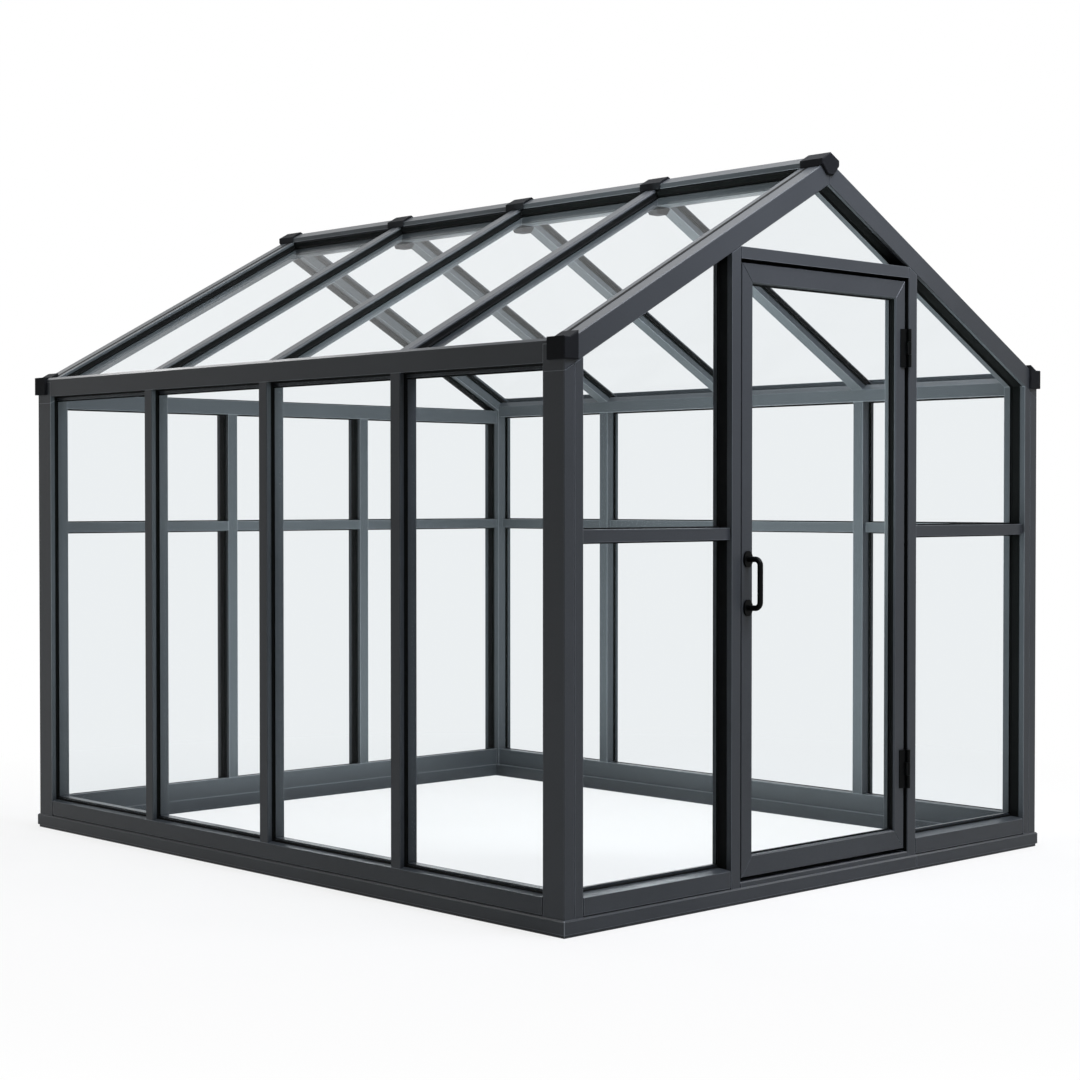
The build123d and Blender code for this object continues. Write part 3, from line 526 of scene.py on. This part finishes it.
def hingeScrewTree(material):
    # a column of countersunk heads on each hinge leaf, every head with a hexagon socket
    tree = bpy.data.node_groups.new("hinge_screws", "GeometryNodeTree")
    for name, kind in (("First Hinge", "NodeSocketVector"), ("Hinge Step", "NodeSocketVector"),
                       ("Screw Step", "NodeSocketVector"), ("Facing", "NodeSocketVector"),
                       ("Hinges", "NodeSocketInt"), ("Screws", "NodeSocketInt"),
                       ("Head Sides", "NodeSocketInt"), ("Socket Sides", "NodeSocketInt"),
                       ("Head Radius", "NodeSocketFloat"), ("Rim Radius", "NodeSocketFloat"),
                       ("Head Depth", "NodeSocketFloat"), ("Socket Radius", "NodeSocketFloat")):
        tree.interface.new_socket(name, in_out="INPUT", socket_type=kind)
    tree.interface.new_socket("Geometry", in_out="OUTPUT", socket_type="NodeSocketGeometry")
    sizes = addNode(tree, "NodeGroupInput").outputs
    hinges = addNode(tree, "GeometryNodeMeshLine", {
        "Count": sizes["Hinges"], "Start Location": sizes["First Hinge"],
        "Offset": sizes["Hinge Step"]})
    down = addNode(tree, "ShaderNodeVectorMath", {0: sizes["Screw Step"], "Scale": -1.0},
                   {"operation": "SCALE"})
    column = addNode(tree, "GeometryNodeMeshLine", {
        "Count": sizes["Screws"], "Start Location": down.outputs["Vector"],
        "Offset": sizes["Screw Step"]})
    columns = addNode(tree, "GeometryNodeInstanceOnPoints", {
        "Points": hinges.outputs["Mesh"], "Instance": column.outputs["Mesh"]})
    places = addNode(tree, "GeometryNodeRealizeInstances", {"Geometry": columns.outputs["Instances"]})
    head = addNode(tree, "GeometryNodeMeshCone", {
        "Vertices": sizes["Head Sides"], "Radius Top": sizes["Rim Radius"],
        "Radius Bottom": sizes["Head Radius"], "Depth": sizes["Head Depth"]})
    socket = addNode(tree, "GeometryNodeMeshCylinder", {
        "Vertices": sizes["Socket Sides"], "Radius": sizes["Socket Radius"],
        "Depth": sizes["Head Depth"]})
    lift = addNode(tree, "ShaderNodeCombineXYZ", {"Z": sizes["Head Depth"]})
    raised = addNode(tree, "GeometryNodeTransform", {
        "Geometry": socket.outputs["Mesh"], "Translation": lift.outputs["Vector"]})
    drilled = addNode(tree, "GeometryNodeMeshBoolean", {
        "Mesh 1": head.outputs["Mesh"], "Mesh 2": raised.outputs["Geometry"]},
        {"operation": "DIFFERENCE"})
    turn = addNode(tree, "FunctionNodeAlignRotationToVector", {"Vector": sizes["Facing"]},
                   {"axis": "Z"})
    heads = addNode(tree, "GeometryNodeInstanceOnPoints", {
        "Points": places.outputs["Geometry"], "Instance": drilled.outputs["Mesh"],
        "Rotation": turn.outputs["Rotation"]})
    solid = addNode(tree, "GeometryNodeRealizeInstances", {"Geometry": heads.outputs["Instances"]})
    painted = addNode(tree, "GeometryNodeSetMaterial", {
        "Geometry": solid.outputs["Geometry"], "Material": material})
    addNode(tree, "NodeGroupOutput", {"Geometry": painted.outputs["Geometry"]})
    return tree


def addHingeScrews():
    # heads on the fixed leaves, in the reveal, so they show once the door stands open
    screw = {"headRadius": 3.8 * millimetre, "rimRadius": 3.2 * millimetre, "rise": 0.5 * millimetre,
             "sunk": 0.6 * millimetre, "socketRadius": 1.7 * millimetre, "step": 43 * millimetre,
             "fromEdge": 12 * millimetre, "perLeaf": 3, "headSides": 24, "socketSides": 6}
    leaf = {"count": 2, "thickness": 3 * millimetre, "height": 130 * millimetre}
    low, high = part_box("hinge_frame_leaves")
    values = {
        "First Hinge": (high.x - leaf["thickness"] + screw["sunk"], high.y - screw["fromEdge"],
                        low.z + leaf["height"] / 2),
        "Hinge Step": (0, 0, high.z - low.z - leaf["height"]),
        "Screw Step": (0, 0, screw["step"]),
        "Facing": (-1, 0, 0),
        "Hinges": leaf["count"],
        "Screws": screw["perLeaf"],
        "Head Sides": screw["headSides"],
        "Socket Sides": screw["socketSides"],
        "Head Radius": screw["headRadius"],
        "Rim Radius": screw["rimRadius"],
        "Head Depth": screw["rise"] + screw["sunk"],
        "Socket Radius": screw["socketRadius"],
    }
    tree = hingeScrewTree(satinPaint)
    piece = addObject("hinge_screws", bpy.data.meshes.new("hinge_screws_start"))
    maker = piece.modifiers.new("hinge_screws", "NODES")
    maker.node_group = tree
    for item in tree.interface.items_tree:
        if item.in_out == "INPUT":
            maker[item.identifier] = values[item.name]
    graph = bpy.context.evaluated_depsgraph_get()
    made = bpy.data.meshes.new_from_object(piece.evaluated_get(graph))
    piece.modifiers.remove(maker)
    piece.data = made
    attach(piece, "root")
    print("hinge screws made:", len(made.polygons), "faces")


addHingeScrews()


def seenRays(tree):
    # 1 for what meets the eye, straight, in gloss or through glass, and 0 for what only lights
    rays = addNode(tree, "ShaderNodeLightPath")
    seen = rays.outputs["Is Camera Ray"]
    for test in ("Is Glossy Ray", "Is Transmission Ray"):
        either = addNode(tree, "ShaderNodeMath", {0: seen, 1: rays.outputs[test]},
                         {"operation": "MAXIMUM"})
        seen = either.outputs["Value"]
    return seen


def addStage():
    # a pale floor that goes over to the white background a few metres out and keeps the shadow
    floor = {"size": 60.0, "shade": "#cfcfcf", "glow": "#ffffff", "lit": 0.22, "fadeFrom": 1.9,
             "fadeTo": 3.6}
    half = floor["size"] / 2
    mesh = bpy.data.meshes.new("floor")
    mesh.from_pydata([(-half, -half, 0), (half, -half, 0), (half, half, 0), (-half, half, 0)],
                     [], [(0, 1, 2, 3)])
    plane = addObject("floor", mesh)
    material = bpy.data.materials.new("studio_floor")
    tree = newTree(material)
    coords = addNode(tree, "ShaderNodeTexCoord")
    away = addNode(tree, "ShaderNodeVectorMath", {0: coords.outputs["Object"]},
                   {"operation": "LENGTH"})
    share = addNode(tree, "ShaderNodeMapRange", {
        "Value": away.outputs["Value"],
        "From Min": floor["fadeFrom"],
        "From Max": floor["fadeTo"],
        "To Min": 1 - floor["lit"],
        "To Max": 1.0,
    })
    white = addNode(tree, "ShaderNodeMath", {0: seenRays(tree), 1: share.outputs["Result"]},
                    {"operation": "MULTIPLY"})
    matt = addNode(tree, "ShaderNodeBsdfDiffuse", {"Color": toLinear(floor["shade"])})
    glow = addNode(tree, "ShaderNodeEmission", {"Color": toLinear(floor["glow"]), "Strength": 1.0})
    mix = addNode(tree, "ShaderNodeMixShader", {
        0: white.outputs["Value"],
        1: matt.outputs["BSDF"],
        2: glow.outputs["Emission"],
    })
    addNode(tree, "ShaderNodeOutputMaterial", {"Surface": mix.outputs["Shader"]})
    mesh.materials.append(material)


def addWorld():
    # white to the eye, in gloss and through glass; a softer level for what it lights
    sky = {"colour": "#ffffff", "seen": 1.0, "light": 0.14}
    world = bpy.data.worlds.new("studio_white")
    bpy.context.scene.world = world
    tree = newTree(world)
    lights = addNode(tree, "ShaderNodeBackground", {
        "Color": toLinear(sky["colour"]), "Strength": sky["light"]})
    shows = addNode(tree, "ShaderNodeBackground", {
        "Color": toLinear(sky["colour"]), "Strength": sky["seen"]})
    mix = addNode(tree, "ShaderNodeMixShader", {
        0: seenRays(tree),
        1: lights.outputs["Background"],
        2: shows.outputs["Background"],
    })
    addNode(tree, "ShaderNodeOutputWorld", {"Surface": mix.outputs["Shader"]})


def addLamps():
    # broad soft boxes: overhead, in front of the door wall, and one at the right and two behind
    # that graze the ledges; two cool ones inside the house
    plain = {"colour": "#ffffff", "spread": 180, "glossy": True}
    lamps = {
        "overhead": {"place": (0.5, -0.5, 6.5), "aim": (0, 0, 0), "size": (6.0, 6.0), "watts": 520},
        "front": {"place": (-0.2, -3.2, 4.5), "aim": (-0.2, -1.4, 2.1), "size": (2.0, 2.0), "watts": 50,
                  "colour": "#eaeeff", "spread": 80},
        "rimRight": {"place": (3.6, -1.75, 2.9), "aim": (0, -1.5, 0.1), "size": (1.6, 1.2), "watts": 30},
        "rimBack": {"place": (-1.3, 3.4, 4.2), "aim": (-1.2, -0.6, 0.1), "size": (0.8, 1.6), "watts": 60},
        "lowBack": {"place": (3.6, 4.4, 2.7), "aim": (0, 0, 0.4), "size": (4.0, 1.8), "watts": 90},
        "inside": {"place": (0, 0, 0.03), "aim": (0, 0.001, 2), "size": (1.5, 2.2), "watts": 125,
                   "colour": "#eaf3f1", "glossy": False},
        "insideHigh": {"place": (-0.5, -0.9, 1.25), "aim": (0.9, 0.35, 1.95), "size": (0.9, 0.9),
                       "watts": 80, "colour": "#eaf3f1", "glossy": False},
    }
    for name, settings in lamps.items():
        lamp = plain | settings
        light = bpy.data.lights.new(name, "AREA")
        light.energy = lamp["watts"]
        light.color = toLinear(lamp["colour"])[:3]
        light.shape = "RECTANGLE"
        light.size, light.size_y = lamp["size"]
        light.spread = math.radians(lamp["spread"])
        holder = addObject(name, light)
        holder.location = lamp["place"]
        aim = Vector(lamp["aim"]) - holder.location
        holder.rotation_euler = aim.to_track_quat("-Z", "Y").to_euler()
        holder.visible_camera = False
        holder.visible_transmission = False
        holder.visible_glossy = lamp["glossy"]


def addCamera():
    # stands off the near left corner, about chest height, looking a hair below level
    view = {"place": (-5.4534, -5.8422, 1.2627), "turn": -0.759, "dip": 0.0184, "lens": 70.86,
            "sensor": 36.0}        # turn and dip in radians, lens and sensor in mm
    lens = bpy.data.cameras.new("camera")
    lens.sensor_width = view["sensor"]
    lens.lens = view["lens"]
    holder = addObject("camera", lens)
    holder.location = view["place"]
    holder.rotation_euler = (math.pi / 2 - view["dip"], 0, view["turn"])
    bpy.context.scene.camera = holder


addStage()
addWorld()
addLamps()
addCamera()
bpy.context.scene.view_settings.view_transform = "Standard"
print("stage, light and camera set")
